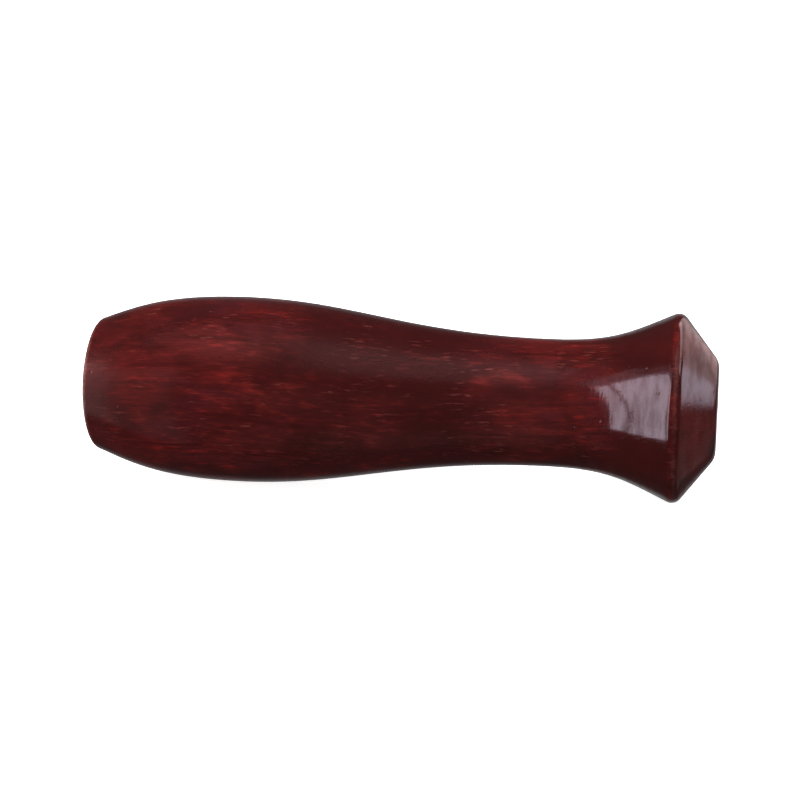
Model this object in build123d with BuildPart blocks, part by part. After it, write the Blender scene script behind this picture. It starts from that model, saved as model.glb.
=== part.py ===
from build123d import *
from math import radians, tan
import os

# Turned wooden tool handle, lying along X as it would on a bench.
# The tool end (nose) faces +X and the butt faces -X, with +Z up.
# The origin is the centre of the flat nose face, where the tool's shoulder seats.

# Handle
LENGTH = 120.0
STOCK_DIAMETER = 36.0  # round stock: the swell reaches it, and the rim nearly does

BUTT_RADIUS = 12.8
BUTT_SLOPE = 20.6  # degrees, how steeply the side leaves the butt face
BUTT_HANDLE = 8.3
BUTT_ROUNDING = 0.9

SWELL_FROM_BUTT = 28.7
SWELL_TO_BUTT_HANDLE = 15.2
SWELL_TO_WAIST_HANDLE = 21.2

WAIST_FROM_BUTT = 88.2
WAIST_RADIUS = 12.15
WAIST_TO_SWELL_HANDLE = 27.8
WAIST_TO_RIM_HANDLE = 11.9

RIM_FROM_BUTT = 112.8
RIM_SLOPE = 24.2  # degrees, how steeply the flare meets the rim
RIM_HANDLE = 10.7
RIM_ROUNDING = 2.0
RIM_ALLOWANCE = 0.32  # by which the rim would pass the stock if it were left sharp

NOSE_RADIUS = 9.1
NOSE_ROUNDING = 3.6

# M8 insert, pressed into the nose with its flange flush
FLANGE_RADIUS = 7.0
FLANGE_THICKNESS = 1.2
INSERT_LENGTH = 24.0
INSERT_RADIUS = 5.5
BARB_HEIGHT = 0.5
BARB_PITCH = 4.0
BARB_COUNT = 5
BARB_START = 2.4  # from the nose face to the first barb
THREAD_MINOR_RADIUS = 3.32  # M8 x 1.25
MOUTH_CHAMFER = 0.8
INSERT_TIP_CHAMFER = 0.6

# Room for the end of the bolt, drilled into the wood behind the insert
CLEARANCE_RADIUS = 4.25
CLEARANCE_DEPTH = 44.0
DRILL_POINT_ANGLE = 118.0


# Outer shape of the insert, which is also the shape of its seat in the wood
with BuildPart() as insert_envelope:
    with BuildSketch(Plane.YZ):
        Circle(FLANGE_RADIUS)
    extrude(amount=-FLANGE_THICKNESS)
    with BuildSketch(Plane.YZ):
        Circle(INSERT_RADIUS)
    extrude(amount=-INSERT_LENGTH)
    tip_edge = insert_envelope.edges().group_by(Axis.X)[0]
    chamfer(tip_edge, INSERT_TIP_CHAMFER)
    # Saw-tooth barbs: each widens towards the nose, so that the insert can't pull out
    with BuildSketch(Plane.XZ):
        for barb in range(BARB_COUNT):
            front = -BARB_START - barb * BARB_PITCH
            with BuildLine():
                Polyline(
                    (front, INSERT_RADIUS - BARB_HEIGHT),
                    (front, INSERT_RADIUS + BARB_HEIGHT),
                    (front - BARB_PITCH / 2, INSERT_RADIUS),
                    (front - BARB_PITCH / 2, INSERT_RADIUS - BARB_HEIGHT),
                    close=True,
                )
            make_face()
    revolve(axis=Axis.X)


# Steel insert: the envelope with its tapping bore, open at both ends
with BuildPart() as threaded_insert:
    add(insert_envelope.part)
    with Locations(Plane.YZ):
        Hole(THREAD_MINOR_RADIUS)
    bore_ends = threaded_insert.edges().filter_by(
        lambda edge: edge.geom_type == GeomType.CIRCLE
        and abs(edge.radius - THREAD_MINOR_RADIUS) < 1e-6
    )
    chamfer(bore_ends, MOUTH_CHAMFER)

threaded_insert.part.label = "threaded_insert"


# Wooden handle: one turned outline, revolved about its axis
with BuildPart() as turned_grip:
    with BuildSketch(Plane.XZ):
        with BuildLine():
            axis_start = Vector(-LENGTH, 0)
            butt = Vector(-LENGTH, BUTT_RADIUS)
            swell = Vector(SWELL_FROM_BUTT - LENGTH, STOCK_DIAMETER / 2)
            waist = Vector(WAIST_FROM_BUTT - LENGTH, WAIST_RADIUS)
            rim = Vector(RIM_FROM_BUTT - LENGTH, STOCK_DIAMETER / 2 + RIM_ALLOWANCE)
            nose = Vector(0, NOSE_RADIUS)
            butt_direction = Vector(1, 0).rotate(Axis.Z, BUTT_SLOPE)
            rim_direction = Vector(1, 0).rotate(Axis.Z, RIM_SLOPE)

            Line(axis_start, butt)
            Bezier(
                butt,
                butt + butt_direction * BUTT_HANDLE,
                swell - Vector(SWELL_TO_BUTT_HANDLE, 0),
                swell,
            )
            Bezier(
                swell,
                swell + Vector(SWELL_TO_WAIST_HANDLE, 0),
                waist - Vector(WAIST_TO_SWELL_HANDLE, 0),
                waist,
            )
            Bezier(
                waist,
                waist + Vector(WAIST_TO_RIM_HANDLE, 0),
                rim - rim_direction * RIM_HANDLE,
                rim,
            )
            Line(rim, nose)
            Line(nose, (0, 0))
            Line((0, 0), axis_start)
        make_face()
    revolve(axis=Axis.X)

    rings = turned_grip.edges().filter_by(GeomType.CIRCLE).sort_by(Axis.X)
    butt_edge = rings[0]
    nose_edge = rings[-1]
    rim_edge = rings[-2]
    fillet(butt_edge, BUTT_ROUNDING)
    fillet(rim_edge, RIM_ROUNDING)
    fillet(nose_edge, NOSE_ROUNDING)

    # Seat for the insert, then the bolt's clearance hole with its drill point
    add(insert_envelope.part, mode=Mode.SUBTRACT)
    drill_point_length = CLEARANCE_RADIUS / tan(radians(DRILL_POINT_ANGLE / 2))
    with BuildSketch(Plane.XZ):
        with BuildLine():
            Polyline(
                (-INSERT_LENGTH, 0),
                (-INSERT_LENGTH, CLEARANCE_RADIUS),
                (-CLEARANCE_DEPTH, CLEARANCE_RADIUS),
                (-CLEARANCE_DEPTH - drill_point_length, 0),
                close=True,
            )
        make_face()
    revolve(axis=Axis.X, mode=Mode.SUBTRACT)

turned_grip.part.label = "turned_grip"


os.makedirs("parts", exist_ok=True)
export_step(turned_grip.part, "parts/turned_grip.step")
export_step(threaded_insert.part, "parts/threaded_insert.step")
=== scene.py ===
from math import cos, pi, radians, sin, tan

import bmesh
import bpy
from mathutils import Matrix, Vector


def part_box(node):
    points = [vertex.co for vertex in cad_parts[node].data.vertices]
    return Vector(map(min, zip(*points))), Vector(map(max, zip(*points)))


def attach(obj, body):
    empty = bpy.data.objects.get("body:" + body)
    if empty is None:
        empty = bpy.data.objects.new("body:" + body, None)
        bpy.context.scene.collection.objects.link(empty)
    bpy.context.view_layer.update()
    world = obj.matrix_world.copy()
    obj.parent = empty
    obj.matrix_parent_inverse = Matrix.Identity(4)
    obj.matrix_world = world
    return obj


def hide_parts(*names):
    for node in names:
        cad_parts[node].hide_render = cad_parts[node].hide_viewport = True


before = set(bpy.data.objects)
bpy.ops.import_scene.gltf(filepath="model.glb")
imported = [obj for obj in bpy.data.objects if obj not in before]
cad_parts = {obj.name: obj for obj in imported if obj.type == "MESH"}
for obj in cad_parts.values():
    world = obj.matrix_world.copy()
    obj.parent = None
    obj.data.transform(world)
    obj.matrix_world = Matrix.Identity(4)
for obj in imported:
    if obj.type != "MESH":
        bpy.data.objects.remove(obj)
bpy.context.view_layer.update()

MM = 0.001

# The handle lies along X: the butt at its lowest x, the flat nose at x = 0.
grip_low, grip_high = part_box("turned_grip")
LENGTH = grip_high.x - grip_low.x
STOCK_RADIUS = 18.0 * MM

BUTT_RADIUS = 12.8 * MM
BUTT_SLOPE = radians(20.6)
BUTT_HANDLE = 8.3 * MM
BUTT_ROUNDING = 0.9 * MM

SWELL_FROM_BUTT = 28.7 * MM
SWELL_TO_BUTT_HANDLE = 15.2 * MM
SWELL_TO_WAIST_HANDLE = 21.2 * MM

WAIST_FROM_BUTT = 88.2 * MM
WAIST_RADIUS = 12.15 * MM
WAIST_TO_SWELL_HANDLE = 27.8 * MM
WAIST_TO_RIM_HANDLE = 11.9 * MM

RIM_FROM_BUTT = 112.8 * MM
RIM_SLOPE = radians(24.2)
RIM_HANDLE = 10.7 * MM
RIM_ROUNDING = 2.0 * MM
RIM_ALLOWANCE = 0.32 * MM

NOSE_RADIUS = 9.1 * MM
NOSE_ROUNDING = 3.6 * MM

# Steel insert and its seat
FLANGE_RADIUS = 7.0 * MM
FLANGE_THICKNESS = 1.2 * MM
FLANGE_EDGE = 0.15 * MM
INSERT_LENGTH = 24.0 * MM
INSERT_RADIUS = 5.5 * MM
BARB_HEIGHT = 0.5 * MM
BARB_PITCH = 4.0 * MM
BARB_COUNT = 5
BARB_START = 2.4 * MM
INSERT_TIP_CHAMFER = 0.6 * MM
THREAD_MINOR_RADIUS = 3.32 * MM
THREAD_DEPTH = 0.68 * MM
THREAD_PITCH = 1.25 * MM
MOUTH_CHAMFER = 0.8 * MM
SEAT_GAP = 0.05 * MM
CLEARANCE_RADIUS = 4.25 * MM
CLEARANCE_DEPTH = 44.0 * MM
DRILL_HALF_ANGLE = radians(59.0)

# A straight run shorter than this is left out, as where a curve ends at a rounding
SHORTEST_RUN = 1e-9


# ---------------------------------------------------------------- node trees

class Value:
    """An output socket that Python arithmetic works on. Each operator adds its Math node."""

    def __init__(self, graph, socket):
        self.graph = graph
        self.socket = socket

    def also(self, output):
        """Another output of the same node."""
        return Value(self.graph, self.socket.node.outputs[output])

    def math(self, operation, *others):
        return self.graph.math(operation, self, *others)

    def __add__(self, other):
        return self.math("ADD", other)

    def __sub__(self, other):
        return self.math("SUBTRACT", other)

    def __mul__(self, other):
        return self.math("MULTIPLY", other)

    def __truediv__(self, other):
        return self.math("DIVIDE", other)

    def __radd__(self, other):
        return self.graph.math("ADD", other, self)

    def __rsub__(self, other):
        return self.graph.math("SUBTRACT", other, self)

    def __rmul__(self, other):
        return self.graph.math("MULTIPLY", other, self)

    def __rtruediv__(self, other):
        return self.graph.math("DIVIDE", other, self)

    def __abs__(self):
        return self.math("ABSOLUTE")

    def clipped(self):
        """Kept between 0 and 1."""
        settings = {"operation": "ADD", "use_clamp": True}
        return self.graph.add("ShaderNodeMath", settings, {0: self, 1: 0.0})

    def ease(self, low, high):
        """0 below low, 1 above high, and a smooth rise between. With low above high it falls."""
        settings = {"interpolation_type": "SMOOTHSTEP"}
        inputs = {"Value": self, "From Min": low, "From Max": high}
        if low > high:
            inputs.update({"From Min": high, "From Max": low, "To Min": 1.0, "To Max": 0.0})
        return self.graph.add("ShaderNodeMapRange", settings, inputs)


class Graph:
    """A node tree, shader or geometry, written as Python."""

    def __init__(self, tree):
        self.tree = tree

    def add(self, kind, settings=None, inputs=None, output=0):
        """One node: its settings first, then the values or links of its sockets."""
        node = self.tree.nodes.new(kind)
        for name, value in (settings or {}).items():
            setattr(node, name, value)
        for key, value in (inputs or {}).items():
            self.feed(node.inputs[key], value)
        return Value(self, node.outputs[output]) if len(node.outputs) else node

    def feed(self, socket, value):
        if isinstance(value, Value):
            self.tree.links.new(value.socket, socket)
        else:
            socket.default_value = value

    def math(self, operation, *operands):
        return self.add("ShaderNodeMath", {"operation": operation}, dict(enumerate(operands)))

    def split(self, vector):
        """The x, y and z of a vector."""
        x = self.add("ShaderNodeSeparateXYZ", inputs={0: vector})
        return x, x.also(1), x.also(2)

    def join(self, x, y, z):
        return self.add("ShaderNodeCombineXYZ", inputs={0: x, 1: y, 2: z})

    def paint(self, amount, under, over, way="MIX"):
        """A colour over another, by amount."""
        settings = {"data_type": "RGBA", "blend_type": way, "clamp_factor": True}
        return self.add("ShaderNodeMix", settings, {0: amount, 6: under, 7: over}, output=2)

    def noise(self, place, detail=2.0, roughness=0.5, distortion=0.0):
        """Cloudy values about 0.5, with features about one unit of place apart."""
        inputs = {
            "Vector": place,
            "Scale": 1.0,
            "Detail": detail,
            "Roughness": roughness,
            "Distortion": distortion,
        }
        return self.add("ShaderNodeTexNoise", None, inputs)

    def cells(self, place):
        """Distance from the nearest of a scatter of points, one for each unit of place."""
        inputs = {"Vector": place, "Scale": 1.0, "Randomness": 1.0}
        return self.add("ShaderNodeTexVoronoi", {"feature": "F1"}, inputs)


# ---------------------------------------------------------------- turned shapes

def lathe_tree():
    """Turns an outline about X.

    It cuts a thread wherever the bore is narrower than the thread's root, and leaves the turning
    tool's ripples on the outside.
    """
    row_nudge = 0.001
    weld = 0.001 * MM
    crest_share, root_share = 0.25, 0.125
    ripple_wander = 0.35
    still_radius, rippled_radius = 9.0 * MM, 10.5 * MM
    tree = bpy.data.node_groups.new("lathe", "GeometryNodeTree")
    sockets = {}
    for name, kind in (
        ("Outline", "NodeSocketObject"),
        ("Facets", "NodeSocketInt"),
        ("Thread Minor Radius", "NodeSocketFloat"),
        ("Thread Depth", "NodeSocketFloat"),
        ("Thread Pitch", "NodeSocketFloat"),
        ("Ripple Depth", "NodeSocketFloat"),
        ("Ripple Spacing", "NodeSocketFloat"),
        ("Seed", "NodeSocketFloat"),
        ("Finish", "NodeSocketMaterial"),
    ):
        sockets[name] = tree.interface.new_socket(name, in_out="INPUT", socket_type=kind)
    tree.interface.new_socket("Turned", in_out="OUTPUT", socket_type="NodeSocketGeometry")

    g = Graph(tree)
    given = g.add("NodeGroupInput")
    facets = given.also("Facets")
    columns = facets + 1

    template = g.add("GeometryNodeObjectInfo", None, {"Object": given.also("Outline")}, output="Geometry")
    points = g.add("GeometryNodeCurveToPoints", {"mode": "EVALUATED"}, {"Curve": template}, output="Points")
    rows = g.add("GeometryNodeAttributeDomainSize", {"component": "POINTCLOUD"}, {0: points})
    sheet = g.add("GeometryNodeMeshGrid", None, {"Vertices X": rows, "Vertices Y": columns})

    index = g.add("GeometryNodeInputIndex")
    # The nudge keeps a whole row number from falling just short
    row = (index / columns + row_nudge).math("FLOOR")
    turn = (index - row * columns) / facets
    place = g.add(
        "GeometryNodeSampleIndex",
        {"data_type": "FLOAT_VECTOR", "domain": "POINT"},
        {"Geometry": points, "Value": g.add("GeometryNodeInputPosition"), "Index": row},
    )
    x, _, outline_radius = g.split(place)

    # An internal thread: the crest is flat for a quarter of the pitch, and the root for an eighth
    phase = (x / given.also("Thread Pitch") - turn).math("FRACT")
    flank = ((abs(phase * 2 - 1) - crest_share) / (1 - crest_share - root_share)).clipped()
    thread_radius = given.also("Thread Minor Radius") + given.also("Thread Depth") * flank
    radius = outline_radius.math("MAXIMUM", thread_radius)

    # Ripples run round the work and drift a little on the way. The bores and flat ends have none.
    angle = turn * (2 * pi)
    across = angle.math("COSINE")
    up = angle.math("SINE")
    spacing = given.also("Ripple Spacing")
    ripple_place = g.join(x / spacing + given.also("Seed"), across * ripple_wander, up * ripple_wander)
    ripple = g.noise(ripple_place, detail=1.0) - 1.0
    outside = outline_radius.ease(still_radius, rippled_radius)
    radius = radius + ripple * given.also("Ripple Depth") * outside

    turned = g.join(x, radius * across, radius * up)
    sheet = g.add("GeometryNodeSetPosition", None, {"Geometry": sheet, "Position": turned})
    sheet = g.add("GeometryNodeMergeByDistance", None, {"Geometry": sheet, "Distance": weld})
    sheet = g.add("GeometryNodeRealizeInstances", None, {"Geometry": sheet})
    sheet = g.add("GeometryNodeSetMaterial", None, {"Geometry": sheet, "Material": given.also("Finish")})
    g.add("NodeGroupOutput", None, {"Turned": sheet})
    return tree, sockets


class Outline:
    """A turner's template in the x-radius plane. Each span is its own spline, with its own fineness."""

    def __init__(self, x, radius):
        self.spans = []
        self.at = Vector((x, radius))

    def curve_to(self, leaving, arriving, end, steps):
        """A cubic span: leaving and arriving are its two handles, as vectors along the way."""
        self.spans.append((self.at, self.at + leaving, end - arriving, end, steps))
        self.at = end

    def line_to(self, x, radius, steps=1):
        end = Vector((x, radius))
        third = (end - self.at) / 3
        self.curve_to(third, third, end, steps)

    def corner(self, point, coming, going, rounding, steps):
        """A straight run up to the corner, and the arc round it."""
        cut = corner_cut(coming, going, rounding)
        start = point - coming * cut
        if (start - self.at).length > SHORTEST_RUN:
            self.line_to(start.x, start.y, steps)
        reach = 4 / 3 * tan(coming.angle(going) / 4) * rounding
        self.curve_to(coming * reach, going * reach, point + going * cut, steps)

    def template(self, name):
        curve = bpy.data.curves.new(name, "CURVE")
        curve.dimensions = "3D"
        for start, leaving, arriving, end, steps in self.spans:
            spline = curve.splines.new("BEZIER")
            spline.bezier_points.add(1)
            spline.resolution_u = steps
            first, last = spline.bezier_points
            for bezier_point in (first, last):
                bezier_point.handle_left_type = "FREE"
                bezier_point.handle_right_type = "FREE"
            first.co = first.handle_left = (start.x, 0, start.y)
            first.handle_right = (leaving.x, 0, leaving.y)
            last.handle_left = (arriving.x, 0, arriving.y)
            last.co = last.handle_right = (end.x, 0, end.y)
        template = bpy.data.objects.new(name, curve)
        bpy.context.scene.collection.objects.link(template)
        return template


def corner_cut(coming, going, rounding):
    """How far from a sharp corner its rounding starts."""
    return rounding * tan(coming.angle(going) / 2)


def heading(angle):
    return Vector((cos(angle), sin(angle)))


def grip_outline():
    butt = Vector((-LENGTH, BUTT_RADIUS))
    swell = Vector((SWELL_FROM_BUTT - LENGTH, STOCK_RADIUS))
    waist = Vector((WAIST_FROM_BUTT - LENGTH, WAIST_RADIUS))
    rim = Vector((RIM_FROM_BUTT - LENGTH, STOCK_RADIUS + RIM_ALLOWANCE))
    nose = Vector((0, NOSE_RADIUS))
    along, inwards, outwards = Vector((1, 0)), Vector((0, -1)), Vector((0, 1))
    butt_way, rim_way = heading(BUTT_SLOPE), heading(RIM_SLOPE)
    bevel_way = (nose - rim).normalized()
    butt_cut = corner_cut(outwards, butt_way, BUTT_ROUNDING)
    rim_cut = corner_cut(rim_way, bevel_way, RIM_ROUNDING)

    pen = Outline(-LENGTH, 0)
    pen.corner(butt, outwards, butt_way, BUTT_ROUNDING, steps=9)
    pen.curve_to(butt_way * (BUTT_HANDLE - butt_cut), along * SWELL_TO_BUTT_HANDLE, swell, steps=44)
    pen.curve_to(along * SWELL_TO_WAIST_HANDLE, along * WAIST_TO_SWELL_HANDLE, waist, steps=84)
    flare_end = rim - rim_way * rim_cut
    pen.curve_to(along * WAIST_TO_RIM_HANDLE, rim_way * (RIM_HANDLE - rim_cut), flare_end, steps=52)
    pen.corner(rim, rim_way, bevel_way, RIM_ROUNDING, steps=9)
    pen.corner(nose, bevel_way, inwards, NOSE_ROUNDING, steps=14)

    # The seat: a recess for the flange, a bore for the barbed body, and the drilled clearance hole
    seat = FLANGE_RADIUS + SEAT_GAP
    bore = INSERT_RADIUS + BARB_HEIGHT + SEAT_GAP
    recess = FLANGE_THICKNESS + SEAT_GAP
    seat_end = -INSERT_LENGTH - SEAT_GAP
    drill_tip = -CLEARANCE_DEPTH - CLEARANCE_RADIUS / tan(DRILL_HALF_ANGLE)
    pen.line_to(0, seat, steps=2)
    pen.line_to(-recess, seat, steps=2)
    pen.line_to(-recess, bore, steps=2)
    pen.line_to(seat_end, bore, steps=6)
    pen.line_to(seat_end, CLEARANCE_RADIUS, steps=2)
    pen.line_to(-CLEARANCE_DEPTH, CLEARANCE_RADIUS, steps=6)
    pen.line_to(drill_tip, 0, steps=3)
    return pen.template("grip_outline")


def insert_outline():
    mouth = THREAD_MINOR_RADIUS + MOUTH_CHAMFER
    steps_each_turn = 10
    turns_of_thread = (INSERT_LENGTH - 2 * MOUTH_CHAMFER) / THREAD_PITCH

    pen = Outline(-INSERT_LENGTH, mouth)
    pen.line_to(-INSERT_LENGTH, INSERT_RADIUS - INSERT_TIP_CHAMFER)
    pen.line_to(-INSERT_LENGTH + INSERT_TIP_CHAMFER, INSERT_RADIUS)
    for barb in reversed(range(BARB_COUNT)):
        front = -BARB_START - barb * BARB_PITCH
        pen.line_to(front - BARB_PITCH / 2, INSERT_RADIUS)
        pen.line_to(front, INSERT_RADIUS + BARB_HEIGHT)
        pen.line_to(front, INSERT_RADIUS)
    pen.line_to(-FLANGE_THICKNESS, INSERT_RADIUS)
    pen.line_to(-FLANGE_THICKNESS, FLANGE_RADIUS)
    pen.line_to(-FLANGE_EDGE, FLANGE_RADIUS)
    pen.line_to(0, FLANGE_RADIUS - FLANGE_EDGE, steps=2)
    pen.line_to(0, mouth, steps=4)
    pen.line_to(-MOUTH_CHAMFER, THREAD_MINOR_RADIUS, steps=8)
    thread_steps = round(turns_of_thread * steps_each_turn)
    pen.line_to(-INSERT_LENGTH + MOUTH_CHAMFER, THREAD_MINOR_RADIUS, thread_steps)
    pen.line_to(-INSERT_LENGTH, mouth, steps=8)
    return pen.template("insert_outline")


def turn_piece(name, template, finish, sharp_angle, **sizes):
    """Runs the lathe on a template and returns the plain mesh it makes, as an object."""
    tree, sockets = lathe_tree()
    carrier = bpy.data.objects.new(name + "_work", bpy.data.meshes.new(name + "_work"))
    bpy.context.scene.collection.objects.link(carrier)
    modifier = carrier.modifiers.new("lathe", "NODES")
    modifier.node_group = tree
    values = {"Outline": template, "Finish": finish}
    for size_name, size in sizes.items():
        values[size_name.replace("_", " ").title()] = size
    for socket_name, value in values.items():
        modifier[sockets[socket_name].identifier] = value
    carrier.update_tag()
    evaluated = carrier.evaluated_get(bpy.context.evaluated_depsgraph_get())
    mesh = bpy.data.meshes.new_from_object(evaluated)
    bpy.data.objects.remove(carrier)
    bpy.data.objects.remove(template)
    bpy.data.node_groups.remove(tree)

    shell = bmesh.new()
    shell.from_mesh(mesh)
    bmesh.ops.recalc_face_normals(shell, faces=shell.faces)
    shell.to_mesh(mesh)
    shell.free()
    mesh.shade_smooth()
    mesh.set_sharp_from_angle(angle=sharp_angle)
    mesh.name = name
    piece = bpy.data.objects.new(name, mesh)
    bpy.context.scene.collection.objects.link(piece)
    return piece


# ---------------------------------------------------------------- finishes

def new_material(name):
    material = bpy.data.materials.new(name)
    material.use_nodes = True
    tree = material.node_tree
    shader = tree.nodes["Principled BSDF"]
    return material, Graph(tree), shader


def colour(red, green, blue):
    return (red, green, blue, 1.0)


def stained_wood():
    """Beech under a red-brown spirit stain and varnish."""
    material, g, shader = new_material("stained_wood")
    place = g.add("ShaderNodeTexCoord", output="Object")
    normal_x, normal_y, normal_z = g.split(place.also("Normal"))

    # Wood coordinates in mm: along the grain, out from the pith, and round it
    x, y, z = g.split(place)
    pith_y, pith_z = 52.0 * MM, -20.0 * MM
    pith_distance_mm = 55.0
    sway_out_mm, sway_round_mm = 2.0, 3.0
    away_y, away_z = y - pith_y, z - pith_z
    sway = g.noise(g.join(x / (38 * MM), 3.1, 0.0), detail=0.0) - 0.5
    out_mm = (away_y * away_y + away_z * away_z).math("SQRT") / MM + sway * sway_out_mm
    round_mm = away_z.math("ARCTAN2", away_y * -1) * pith_distance_mm + sway * sway_round_mm
    along_mm = x / MM

    def grain(length, depth, width, shift=0.0):
        """A place in the wood, for features of that many mm. Another shift gives another pattern."""
        return g.join(along_mm / length + shift, out_mm / depth + shift, round_mm / width + shift)

    # Stain takes unevenly: soft clouds a finger wide, and streaks that follow the grain
    clouds = g.noise(grain(13, 9, 6.5), detail=3.0, roughness=0.55, distortion=0.4).ease(0.32, 0.65)
    clouds_wide = g.noise(grain(30, 20, 18, 55.0), detail=1.0).ease(0.30, 0.60)
    bruises = g.noise(grain(11, 10, 7, 17.3), detail=2.0, roughness=0.5, distortion=0.8).ease(0.52, 0.72)
    violet = g.noise(grain(16, 10, 6, 41.7), detail=2.0).ease(0.48, 0.66)
    streaks = g.noise(grain(4.2, 6, 0.55, 5.2), detail=2.0, roughness=0.55).ease(0.50, 0.74)
    fibres = g.noise(grain(3.2, 1.0, 0.24, 9.9), detail=1.0, roughness=0.6).ease(0.30, 0.75)
    veins = g.noise(grain(17, 7, 0.80, 63.0), detail=1.0, roughness=0.45).ease(0.54, 0.70)

    # Rays: thin plates seen edge-on as short light dashes, in drifts
    drifts = g.noise(grain(9, 12, 5, 29.0), detail=1.0).ease(0.42, 0.66)
    facing_round = abs(normal_z * away_y - normal_y * away_z) / (out_mm * MM)
    rays = g.noise(grain(2.6, 12, 0.30, 2.7), detail=1.0, roughness=0.4).ease(0.60, 0.76)
    rays = rays * drifts * facing_round.ease(0.97, 0.70)

    # Pores: short dark pricks
    pores = g.noise(grain(1.3, 0.6, 0.20, 8.8), detail=0.0).ease(0.66, 0.80)

    # The palm has dulled the grip. The flare and nose keep the full gloss.
    near_nose = x.ease(-33 * MM, -24 * MM)

    # Growth rings, faint under the stain
    ring_mm, ring_waviness_mm = 2.3, 2.5
    wavy_out_mm = out_mm + g.noise(grain(40, 8, 12, 3.3)) * ring_waviness_mm
    rings = (wavy_out_mm / ring_mm).math("FRACT").ease(0.45, 0.95)

    # The turned slopes cut across the fibres and drink more stain, most of all on the flare
    facing_x = abs(normal_x)
    end_face = facing_x.ease(0.82, 0.95)
    end_grain = (facing_x.ease(0.12, 0.42) * (0.35 + 0.65 * near_nose)).math("MAXIMUM", end_face)
    end_rays = g.noise(grain(9, 7, 0.34, 13.6), detail=1.0).ease(0.54, 0.70) * end_face

    # Fingers have darkened the waist side of the swell
    handled = x.ease(-90 * MM, -70 * MM) * x.ease(-34 * MM, -50 * MM) * (0.4 + 0.6 * clouds_wide)

    # The stain is rubbed thin along the crest of the rim and the butt's edge; the pale line there is also a
    # painted highlight where these roundings catch the light
    bevel = x.ease(-7.0 * MM, -6.0 * MM)
    chips = g.noise(g.join(along_mm / 0.8, y / (1.2 * MM), z / (1.2 * MM)), detail=3.0, roughness=0.65)
    crest_mm = -7.3
    rim_line = abs(along_mm - crest_mm).ease(0.6, 0.12)
    radius_mm = (y * y + z * z).math("SQRT") / MM
    butt_line = along_mm.ease(-118.9, -119.6) * radius_mm.ease(11.7, 12.3)
    rub_and_highlight_drift = g.noise(g.join(y / (9 * MM), z / (9 * MM), 6.0), detail=1.0).ease(0.40, 0.60)
    wear_and_edge_highlight = (rim_line * (0.04 + 0.13 * rub_and_highlight_drift) + butt_line * 0.35) * chips.ease(0.30, 0.66)

    deep = colour(0.032, 0.0042, 0.0042)
    body = colour(0.088, 0.0082, 0.0072)
    bright = colour(0.180, 0.0125, 0.0100)
    dash = colour(0.230, 0.0500, 0.0390)
    plum = colour(0.060, 0.0090, 0.0125)
    # Pale rub colour, also used as a painted highlight on the rim crest and the butt's edge
    rubbed_and_highlight = colour(0.300, 0.1050, 0.0900)

    # Each coat goes over the last, by how much of it there is
    base = g.paint(clouds, deep, body)
    base = g.paint(violet * 0.55, base, plum)
    base = g.paint(handled * 0.90, base, deep)
    base = g.paint(streaks * clouds * 0.85 * (1 - end_grain) * (1 - handled * 0.5), base, bright)
    base = g.paint(bruises * 0.60, base, deep)
    base = g.paint((1 - fibres) * 0.40, base, deep)
    base = g.paint(veins * 0.50 * (1 - end_grain), base, deep)
    base = g.paint(rings * (0.14 + 0.42 * end_face), base, deep)
    base = g.paint(end_rays * 0.40, base, bright)
    base = g.paint(rays * 0.32 * (1 - end_grain * 0.8), base, dash)
    base = g.paint(pores * 0.45 * (1 - end_grain * 0.5), base, deep)
    # The bevel is left out of this darkening, so it stays lighter: painted light standing in for the light
    # the bevel catches
    base = g.paint(end_grain * (1 - bevel) * (1 - end_face) * 0.75, base, deep)
    # Rubbed wear and painted highlight along the rim crest and the butt's edge
    base = g.paint(wear_and_edge_highlight, base, rubbed_and_highlight)
    g.feed(shader.inputs["Base Color"], base)

    varnish_ior = 1.5
    worn = 0.205 + g.noise(grain(6, 6, 4, 71.0), detail=2.0) * 0.07
    glossy = 0.07 + g.noise(grain(1.2, 3, 3, 23.0), detail=2.0) * 0.08 + bevel * 0.10
    g.feed(shader.inputs["Roughness"], worn * (1 - near_nose) + glossy * near_nose)
    g.feed(shader.inputs["IOR"], varnish_ior)

    # The second coat of varnish on the flare and nose went on unevenly, brushed round the work
    brushed = g.noise(g.join(along_mm / 1.3, y / (5 * MM), z / (5 * MM)), detail=3.0, roughness=0.6)
    g.feed(shader.inputs["Coat Weight"], brushed.ease(0.36, 0.66) * near_nose * 0.6)
    g.feed(shader.inputs["Coat Roughness"], 0.12)
    g.feed(shader.inputs["Coat IOR"], varnish_ior)

    # Relief in mm: swells left by hand sanding, tool ripples, brush marks, orange peel, open pores,
    # proud rays and a few pits in the varnish
    angle = z.math("ARCTAN2", y)
    swell = g.noise(g.join(along_mm / 6.5, angle * 2.2, 0.0), detail=1.0)
    ripple = g.noise(g.join(along_mm / 1.1, angle * 1.3, 4.0), detail=2.0, roughness=0.6)
    brush_marks = g.noise(g.join(along_mm / 0.75, angle * 3.4, 9.0), detail=2.0, roughness=0.5)
    flare_foot = x.ease(-17 * MM, -24 * MM)
    peel = g.noise(g.join(along_mm / 1.5, y / (1.5 * MM), z / (1.5 * MM)), detail=2.0)
    pits = g.cells(g.join(along_mm / 3.1, y / (3.1 * MM), z / (3.1 * MM))).ease(0.13, 0.05)
    relief = (
        swell * 0.05 * near_nose
        + ripple * (0.004 + 0.013 * near_nose)
        + brush_marks * (0.003 + near_nose * (0.003 + 0.032 * flare_foot) + 0.022 * bevel)
        + peel * 0.006
        - pores * 0.004
        + rays * 0.003
        - pits * 0.040
    ) * MM
    bump = g.add("ShaderNodeBump", None, {"Strength": 1.0, "Distance": 1.0, "Height": relief})
    g.feed(shader.inputs["Normal"], bump)
    return material


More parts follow.
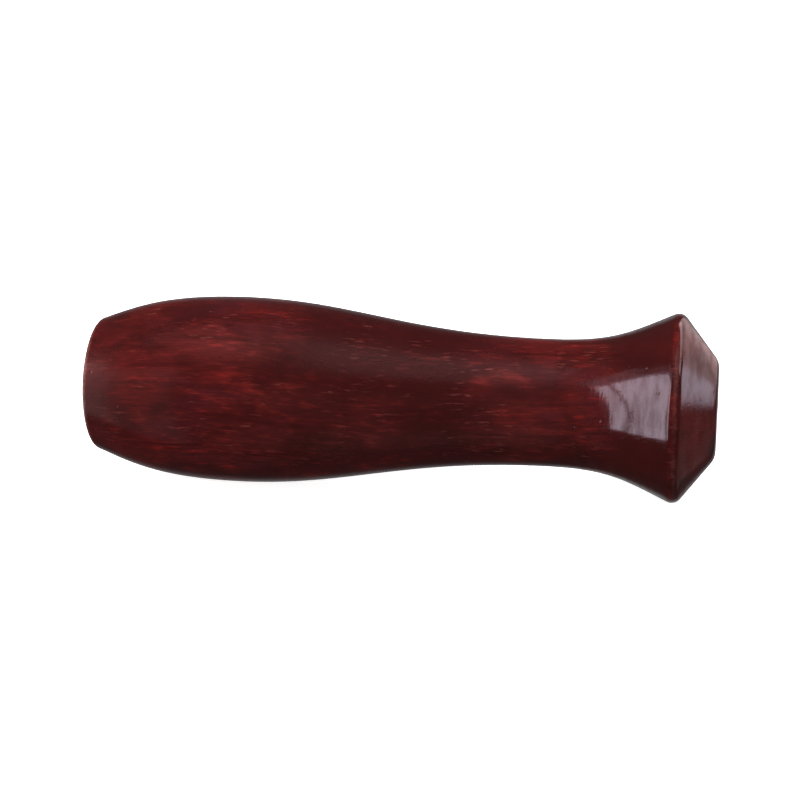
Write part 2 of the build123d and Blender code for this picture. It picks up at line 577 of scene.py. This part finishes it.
def zinc_plated_steel():
    """Bright zinc over turned steel."""
    material, g, shader = new_material("zinc_plated_steel")
    place = g.add("ShaderNodeTexCoord", output="Object")
    x, y, z = g.split(place)
    radius_mm = (y * y + z * z).math("SQRT") / MM
    patches = g.noise(g.join(x / (2.5 * MM), y / (2.5 * MM), z / (2.5 * MM)), detail=3.0)
    marks = g.noise(g.join(radius_mm / 0.12, x / (0.12 * MM), 0.0), detail=1.0)
    base = g.paint(patches.ease(0.35, 0.7), colour(0.62, 0.64, 0.66), colour(0.78, 0.78, 0.77))
    g.feed(shader.inputs["Base Color"], base)
    g.feed(shader.inputs["Roughness"], 0.24 + patches * 0.12 + marks * 0.08)
    g.feed(shader.inputs["Metallic"], 1.0)
    bump = g.add("ShaderNodeBump", None, {"Strength": 1.0, "Distance": 1.0, "Height": marks * (0.004 * MM)})
    g.feed(shader.inputs["Normal"], bump)
    return material


# ---------------------------------------------------------------- the pieces

grip = turn_piece(
    "stained_grip", grip_outline(), stained_wood(), radians(35),
    facets=288, thread_minor_radius=0.0, thread_depth=0.0, thread_pitch=1.0,
    ripple_depth=0.03 * MM, ripple_spacing=2.4 * MM, seed=4.0,
)
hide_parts("turned_grip")
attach(grip, "root")

sleeve = turn_piece(
    "threaded_sleeve", insert_outline(), zinc_plated_steel(), radians(25),
    facets=96,
    thread_minor_radius=THREAD_MINOR_RADIUS, thread_depth=THREAD_DEPTH, thread_pitch=THREAD_PITCH,
    ripple_depth=0.0, ripple_spacing=1.0, seed=0.0,
)
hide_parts("threaded_insert")
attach(sleeve, "root")


# ---------------------------------------------------------------- the studio

FLOOR = -STOCK_RADIUS
MIDDLE = Vector((-LENGTH / 2, 0, 0))


def direction(azimuth, elevation):
    """A unit vector from the handle's middle. Azimuth 0 is -Y, and positive turns towards the nose."""
    a, e = radians(azimuth), radians(elevation)
    return Vector((sin(a) * cos(e), -cos(a) * cos(e), sin(e)))


def make_floor():
    """A wide pale dish: flat under the handle, rising far away, so that every view has a plain ground."""
    flat, reach, height = 1.4, 2.6, 2.2
    facets, bends = 96, 12
    dish = bmesh.new()
    rings = [(flat / 2, 0.0), (flat, 0.0)]
    for step in range(1, bends + 1):
        bend = step / bends * pi / 2
        rings.append((flat + (reach - flat) * sin(bend), height * (1 - cos(bend))))
    centre = dish.verts.new((MIDDLE.x, 0, FLOOR))
    previous = None
    for radius, rise in rings:
        ring = [
            dish.verts.new((MIDDLE.x + radius * cos(a), radius * sin(a), FLOOR + rise))
            for a in (2 * pi * i / facets for i in range(facets))
        ]
        for i in range(facets):
            j = (i + 1) % facets
            if previous is None:
                dish.faces.new((centre, ring[i], ring[j]))
            else:
                dish.faces.new((previous[i], ring[i], ring[j], previous[j]))
        previous = ring
    mesh = bpy.data.meshes.new("floor")
    dish.to_mesh(mesh)
    dish.free()
    mesh.shade_smooth()
    material, g, shader = new_material("pale_floor")
    g.feed(shader.inputs["Base Color"], colour(0.9, 0.9, 0.9))
    g.feed(shader.inputs["Roughness"], 0.9)
    g.feed(shader.inputs["Specular IOR Level"], 0.0)
    g.feed(shader.inputs["Emission Color"], colour(1.0, 1.0, 1.0))
    g.feed(shader.inputs["Emission Strength"], 0.90)
    mesh.materials.append(material)
    floor = bpy.data.objects.new("floor", mesh)
    bpy.context.scene.collection.objects.link(floor)
    floor.visible_glossy = False
    floor.visible_diffuse = False
    floor.visible_shadow = False


def softbox(name, way, distance, size, power):
    """A soft panel whose light falls on the wood, and which the varnish doesn't show."""
    light = bpy.data.lights.new(name, "AREA")
    light.shape = "RECTANGLE"
    light.size = light.size_y = size
    light.energy = power
    lamp = bpy.data.objects.new(name, light)
    lamp.location = MIDDLE + way * distance
    lamp.rotation_mode = "QUATERNION"
    lamp.rotation_quaternion = way.to_track_quat("Z", "Y")
    lamp.visible_camera = False
    lamp.visible_glossy = False
    bpy.context.scene.collection.objects.link(lamp)


def card(name, aim, way, distance, width, height, tint, glow, aside=0.0, above=0.0):
    """A studio card that only the varnish shows.

    A glowing one is mirrored as a highlight, and a black one hides what is behind it. It stands off
    from what it is aimed at, and aside and above move it along its own width and height.
    """
    facing = way.to_track_quat("Z", "Y")
    across, upright = facing @ Vector((width / 2, 0, 0)), facing @ Vector((0, height / 2, 0))
    centre = aim + way * distance + facing @ Vector((aside, above, 0))
    corners = [
        centre - across - upright,
        centre + across - upright,
        centre + across + upright,
        centre - across + upright,
    ]
    mesh = bpy.data.meshes.new(name)
    mesh.from_pydata(corners, [], [(0, 1, 2, 3)])
    material, g, shader = new_material(name)
    g.feed(shader.inputs["Base Color"], colour(0.0, 0.0, 0.0))
    g.feed(shader.inputs["Specular IOR Level"], 0.0)
    g.feed(shader.inputs["Emission Color"], tint)
    g.feed(shader.inputs["Emission Strength"], glow)
    material.cycles.emission_sampling = "NONE"
    mesh.materials.append(material)
    panel = bpy.data.objects.new(name, mesh)
    panel.visible_camera = False
    panel.visible_diffuse = False
    panel.visible_shadow = False
    bpy.context.scene.collection.objects.link(panel)


def light_studio():
    softbox("overhead_softbox", direction(-10, 72), distance=1.0, size=0.9, power=15.0)
    softbox("front_fill", direction(5, 10), distance=1.2, size=0.8, power=3.1)
    softbox("nose_fill", direction(78, 15), distance=1.0, size=0.6, power=2.8)
    softbox("butt_fill", direction(-75, 10), distance=1.0, size=0.6, power=9.0)
    softbox("under_fill", direction(10, -50), distance=1.0, size=0.9, power=5.0)
    softbox("back_fill", direction(175, 15), distance=1.1, size=0.9, power=8.0)

    # After its aim and its way, each card has its distance, width and height in metres, tint and glow
    flare = Vector((-15 * MM, 0, 0))
    lilac, pink, black = colour(0.97, 0.84, 1.0), colour(1.0, 0.72, 0.73), colour(0.0, 0.0, 0.0)
    window = direction(-51, 9.5)
    card("window_left_pane", flare, window, 0.30, 0.147, 0.38, lilac, 3.7, aside=-0.0395)
    card("window_right_pane", flare, window, 0.30, 0.052, 0.38, lilac, 3.6, aside=0.072)
    card("window_head", flare, window, 0.30, 0.24, 0.10, lilac, 0.5, above=0.24)
    card("nose_card", flare, direction(140, 20), 0.60, 0.60, 0.50, pink, 0.95)
    card("upper_card", flare, direction(22, 54), 0.30, 0.26, 0.36, pink, 0.32, aside=0.02)
    card("rim_card", flare, direction(120, 50), 0.30, 0.44, 0.085, pink, 2.5)
    card("nose_strip", flare, direction(104, 11), 0.60, 0.26, 0.24, lilac, 2.2)
    card("butt_card", MIDDLE, direction(-92, 0), 0.50, 0.44, 0.48, pink, 2.3)
    card("nose_bounce", flare, direction(106, -30), 0.60, 0.50, 0.50, pink, 0.16)

    # Close in front, two black flags keep the window out of the swell and waist. Before the tall one,
    # two dim cards give the butt and its taper a little sheen.
    front = direction(0, 0)
    tall_place, low_place = Vector((-120 * MM, 0, 0)), Vector((-58.5 * MM, 0, 0))
    butt_place, taper_place = Vector((-151 * MM, 0, -6 * MM)), Vector((-122 * MM, 0, -6 * MM))
    card("tall_flag", tall_place, front, 31 * MM, 90 * MM, 170 * MM, black, 0.0)
    card("butt_glow", butt_place, front, 30 * MM, 28 * MM, 50 * MM, pink, 0.45)
    card("taper_glow", taper_place, front, 30 * MM, 30 * MM, 50 * MM, pink, 0.18)
    card("low_flag", low_place, front, 31 * MM, 33 * MM, 48 * MM, black, 0.0)


def light_room():
    """A dark room, with a dim pale wall beyond the handle."""
    world = bpy.data.worlds.new("room")
    world.use_nodes = True
    g = Graph(world.node_tree)
    sky = world.node_tree.nodes["Background"]
    way = g.add("ShaderNodeTexCoord", output="Generated")
    beyond = -direction(9.7, 15.1)
    dark, pale = colour(0.03, 0.03, 0.03), colour(0.27, 0.27, 0.28)
    settings, inputs = {"operation": "DOT_PRODUCT"}, {0: way, 1: beyond}
    facing = g.add("ShaderNodeVectorMath", settings, inputs, output="Value")
    g.feed(sky.inputs["Color"], g.paint(facing.ease(0.80, 0.95), dark, pale))
    bpy.context.scene.world = world


def set_camera():
    """Off to the nose side and a little above, with a long lens."""
    azimuth, elevation, distance = 9.84, 14.94, 389.2 * MM
    aside, below = 0.40 * MM, 0.76 * MM
    back = direction(azimuth, elevation)
    right = Vector((cos(radians(azimuth)), sin(radians(azimuth)), 0))
    up = back.cross(right)
    aim = MIDDLE - right * aside - up * below
    data = bpy.data.cameras.new("camera")
    data.sensor_width = 36.0
    data.lens = 91.03
    data.clip_start, data.clip_end = 0.01, 50.0
    camera = bpy.data.objects.new("camera", data)
    camera.rotation_mode = "QUATERNION"
    camera.rotation_quaternion = back.to_track_quat("Z", "Y")
    camera.location = aim + back * distance
    bpy.context.scene.collection.objects.link(camera)
    bpy.context.scene.camera = camera


make_floor()
light_studio()
light_room()
set_camera()
bpy.context.scene.view_settings.view_transform = "Standard"
